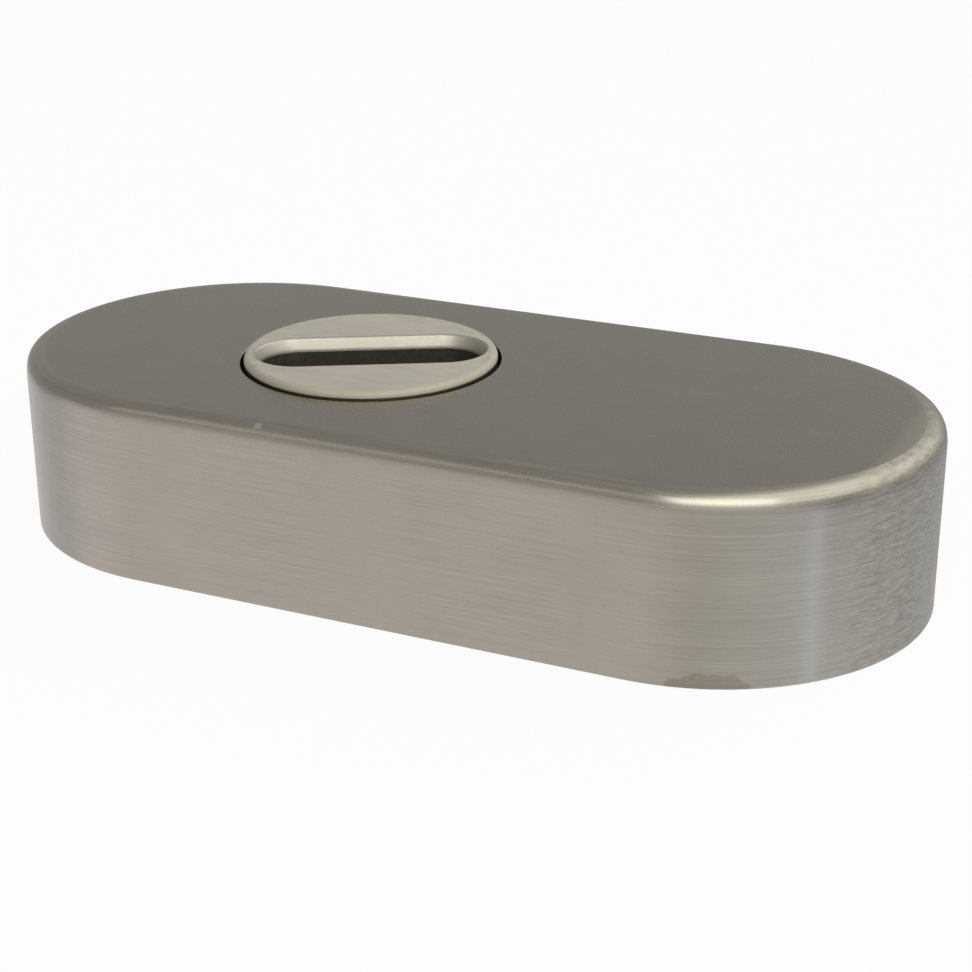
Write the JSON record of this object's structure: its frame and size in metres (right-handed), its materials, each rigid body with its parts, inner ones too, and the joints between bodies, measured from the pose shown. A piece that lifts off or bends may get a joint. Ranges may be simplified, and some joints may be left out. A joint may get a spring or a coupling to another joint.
{
  "type": "security escutcheon",
  "caption": "Oval brushed steel security escutcheon for a profile cylinder, with a turning, spring-loaded key disc that guards the core against pulling and drilling.",
  "frame": {"origin": "middle of the oval outline, on the back plane that lies against the door", "axes": "+Z out of the door towards the visible face, +X along the oval's length (the disc is towards -X), +Y across it"},
  "size_m": [0.0714, 0.033, 0.0144],
  "materials": {
    "brushed_cover_steel": "stainless steel, brushed along its length on the sides, fine matt on the face",
    "satin_disc_steel": "hardened stainless steel, finely turned and matt",
    "base_steel": "steel, dark phosphate",
    "hardened_steel": "hardened steel, blued",
    "plated_steel": "steel, bright zinc plate",
    "ground_pin_steel": "steel, ground",
    "spring_steel": "spring steel, oiled",
    "bearing_brass": "turned",
    "white_nylon": "moulded nylon",
    "gasket_rubber": "matt, closed cell"
  },
  "bodies": {
    "escutcheon": {"back_gasket": "gasket_rubber", "base_body": "base_steel", "cover_clip_1": "spring_steel", "cover_clip_2": "spring_steel", "cover_clip_3": "spring_steel", "cover_clip_4": "spring_steel", "cover_shell": "brushed_cover_steel", "depth_spring_1": "spring_steel", "depth_spring_2": "spring_steel", "depth_spring_3": "spring_steel", "depth_spring_4": "spring_steel", "guard_plate": "hardened_steel", "guard_plate_screws": "plated_steel", "guide_pin_1": "ground_pin_steel", "guide_pin_2": "ground_pin_steel", "guide_pin_3": "ground_pin_steel", "guide_pin_4": "ground_pin_steel", "left_guard_ball": "hardened_steel", "left_threaded_sleeve": "plated_steel", "right_guard_ball": "hardened_steel", "right_threaded_sleeve": "plated_steel", "slip_washer": "white_nylon"},
    "disc_carriage": {"disc_bush": "bearing_brass", "disc_carrier": "base_steel"},
    "turning_disc": {"disc_hard_pin_left": "hardened_steel", "disc_hard_pin_right": "hardened_steel", "key_disc": "satin_disc_steel"}
  },
  "joints": [
    {"name": "disc_depth", "type": "slide", "parent": "escutcheon", "child": "disc_carriage", "axis": [0, 0, 1], "range_m": [-0.0018, 0], "stiffness_N_per_m": 1000, "springref_m": 0.004, "deforming": ["depth_spring_1", "depth_spring_2", "depth_spring_3", "depth_spring_4"]},
    {"name": "disc_turn", "type": "hinge", "parent": "disc_carriage", "child": "turning_disc", "pos_m": [-0.0078, 0, 0.0095], "axis": [0, 0, 1], "continuous": true}
  ]
}
